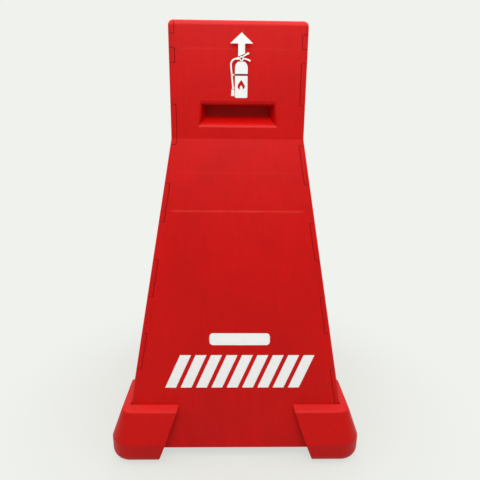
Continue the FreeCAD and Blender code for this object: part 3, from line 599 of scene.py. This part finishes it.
class STAND_OT_plain_bar(bpy.types.Operator):
    """Printed plain bar with round corners on the front wall"""
    bl_idname = "stand.plain_bar"
    bl_label = "Plain bar"

    def execute(self, context):
        settings = context.scene.stand_print
        width, height = settings.bar_size
        mesh = bmesh.new()
        bmesh.ops.create_grid(mesh, x_segments=1, y_segments=1, size=0.5)
        bmesh.ops.scale(mesh, vec=(width, height, 1.0), verts=mesh.verts[:])
        bmesh.ops.bevel(
            mesh, geom=mesh.verts[:], offset=height * 0.3, segments=6, profile=0.5, affect="VERTICES",
            material=-1)
        mesh.normal_update()
        finish_print(mesh, "plain_bar", material_named("screen_print_white"), settings,
                     settings.bar_centre, settings.bar_height)
        return {"FINISHED"}


class STAND_OT_hazard_band(bpy.types.Operator):
    """Printed band of slanted hazard bars on the front wall"""
    bl_idname = "stand.hazard_band"
    bl_label = "Hazard band"

    def execute(self, context):
        settings = context.scene.stand_print
        width, height = settings.band_size
        slant = height * 0.45
        pitch = (width - slant) / (settings.band_bars - 0.3)
        bar = pitch * 0.7
        mesh = bmesh.new()
        for step in range(settings.band_bars):
            left = -width / 2 + step * pitch
            add_polygon(mesh, [(left, -height / 2), (left + bar, -height / 2),
                               (left + bar + slant, height / 2), (left + slant, height / 2)])
        mesh.normal_update()
        finish_print(mesh, "hazard_band", material_named("screen_print_white"), settings,
                     settings.band_centre, settings.band_height)
        return {"FINISHED"}


# Studio
def seen_directly(tree):
    """One for rays from the camera, in reflections and through glass, else nothing."""
    path = add_node(tree, "LightPath", {}, {}).outputs
    either = add_node(
        tree, "Math", {"operation": "MAXIMUM"}, {0: path["Is Camera Ray"], 1: path["Is Glossy Ray"]})
    return add_node(
        tree, "Math", {"operation": "MAXIMUM"},
        {0: either.outputs[0], 1: path["Is Transmission Ray"]}).outputs[0]


def pale_floor(settings):
    """Matt studio floor that fades into the backdrop away from the stand."""
    material, tree = new_material("studio_floor")
    place = object_place(tree)
    grain = add_node(tree, "TexNoise", {"Scale": per(0.4), "Detail": 2.0}, {"Vector": place})
    tone = add_node(
        tree, "Mix", {"data_type": "RGBA", 6: linear(FLOOR_TONES[0]), 7: linear(FLOOR_TONES[1])},
        {0: grain.outputs[0]})
    matt = add_node(tree, "BsdfDiffuse", {}, {"Color": tone.outputs[2]})
    glow = add_node(tree, "Emission", {"Color": linear(settings.background), "Strength": 1.0}, {})
    distance = add_node(tree, "VectorMath", {"operation": "LENGTH"}, {0: place})
    away = add_node(
        tree, "MapRange", {
            "interpolation_type": "SMOOTHSTEP", "From Min": FLOOR_FADE[0], "From Max": FLOOR_FADE[1],
            "To Min": FLOOR_GLOW_NEAR},
        {"Value": distance.outputs["Value"]})
    share = add_node(
        tree, "Math", {"operation": "MULTIPLY"}, {0: away.outputs[0], 1: seen_directly(tree)})
    mixed = add_node(
        tree, "MixShader", {}, {0: share.outputs[0], 1: matt.outputs[0], 2: glow.outputs[0]})
    add_node(tree, "OutputMaterial", {}, {"Surface": mixed.outputs[0]})
    return material


def soft_world(settings):
    """Even light from all round, with the pale backdrop wherever it is seen."""
    world = bpy.data.worlds.new("studio")
    world.use_nodes = True
    tree = world.node_tree
    tree.nodes.clear()
    light = add_node(tree, "Background", {"Color": (1, 1, 1, 1), "Strength": settings.ambient}, {})
    backdrop = add_node(tree, "Background", {"Color": linear(settings.background), "Strength": 1.0}, {})
    mixed = add_node(
        tree, "MixShader", {}, {0: seen_directly(tree), 1: light.outputs[0], 2: backdrop.outputs[0]})
    add_node(tree, "OutputWorld", {}, {"Surface": mixed.outputs[0]})
    return world


def add_softbox(name, place, aim, power):
    """A square area lamp that the camera doesn't see."""
    lamp = bpy.data.lights.new(name, "AREA")
    lamp.shape = "SQUARE"
    lamp.size = SOFTBOX_SIZE
    lamp.energy = power
    box = bpy.data.objects.new(name, lamp)
    box.location = place
    box.rotation_euler = (Vector(aim) - Vector(place)).to_track_quat("-Z", "Y").to_euler()
    box.visible_camera = False
    bpy.context.scene.collection.objects.link(box)


class STAND_OT_stage(bpy.types.Operator):
    """Pale floor, backdrop, soft light and the camera"""
    bl_idname = "stand.stage"
    bl_label = "Stage"

    def execute(self, context):
        settings = context.scene.stand_studio
        scene = context.scene
        mesh = bmesh.new()
        bmesh.ops.create_grid(mesh, x_segments=1, y_segments=1, size=settings.floor_size / 2)
        data = bpy.data.meshes.new("floor")
        mesh.to_mesh(data)
        mesh.free()
        data.materials.append(pale_floor(settings))
        floor = bpy.data.objects.new("floor", data)
        scene.collection.objects.link(floor)
        scene.world = soft_world(settings)
        middle = (0.0, 0.0, WALL_TOP * 0.55)
        for name, across, away, power in (
            ("front_light", 0, -1, settings.front_power), ("back_light", 0, 1, settings.back_power),
            ("left_light", -1, 0, settings.side_power), ("right_light", 1, 0, settings.side_power),
            ("top_light", 0, -0.35, settings.top_power),
        ):
            reach = settings.light_reach
            add_softbox(name, (across * reach, away * reach, settings.light_height), middle, power)
        scene.view_settings.view_transform = "Standard"
        self.add_camera(scene, settings)
        return {"FINISHED"}

    def add_camera(self, scene, settings):
        """The photograph's viewpoint."""
        tilt, heading, roll = settings.camera_turn
        data = bpy.data.cameras.new("camera")
        data.sensor_width = 36.0
        data.lens = settings.camera_lens
        data.clip_start = 0.01
        camera = bpy.data.objects.new("camera", data)
        turned = Euler((tilt, 0.0, heading)).to_matrix() @ Matrix.Rotation(roll, 3, "Z")
        camera.location = settings.camera_place
        camera.rotation_euler = turned.to_euler()
        scene.collection.objects.link(camera)
        scene.camera = camera


class STAND_PT_sidebar(bpy.types.Panel):
    """Lists the stand's settings and pieces"""
    bl_idname = "STAND_PT_sidebar"
    bl_label = "Fire extinguisher stand"
    bl_space_type = "VIEW_3D"
    bl_region_type = "UI"
    bl_category = "Stand"

    def draw(self, context):
        for group in ("stand_plastic", "stand_print", "stand_studio"):
            settings = getattr(context.scene, group)
            box = self.layout.box()
            for key in settings.__annotations__:
                box.prop(settings, key)
        for operator in OPERATORS:
            self.layout.operator(operator.bl_idname)


OPERATORS = (
    STAND_OT_stage, STAND_OT_panels, STAND_OT_feet, STAND_OT_inner_pieces, STAND_OT_pictogram,
    STAND_OT_plain_bar, STAND_OT_hazard_band,
)
GROUPS = (
    ("stand_plastic", StandPlasticSettings), ("stand_print", StandPrintSettings),
    ("stand_studio", StandStudioSettings),
)


def register():
    for name, group in GROUPS:
        bpy.utils.register_class(group)
        setattr(bpy.types.Scene, name, PointerProperty(type=group))
    for item in OPERATORS + (STAND_PT_sidebar,):
        bpy.utils.register_class(item)


def unregister():
    for item in reversed(OPERATORS + (STAND_PT_sidebar,)):
        bpy.utils.unregister_class(item)
    for name, group in reversed(GROUPS):
        delattr(bpy.types.Scene, name)
        bpy.utils.unregister_class(group)


def main():
    register()
    bpy.ops.stand.stage()
    bpy.ops.stand.panels()
    bpy.ops.stand.feet()
    bpy.ops.stand.inner_pieces()
    bpy.ops.stand.pictogram()
    bpy.ops.stand.plain_bar()
    bpy.ops.stand.hazard_band()


if __name__ == "__main__":
    main()
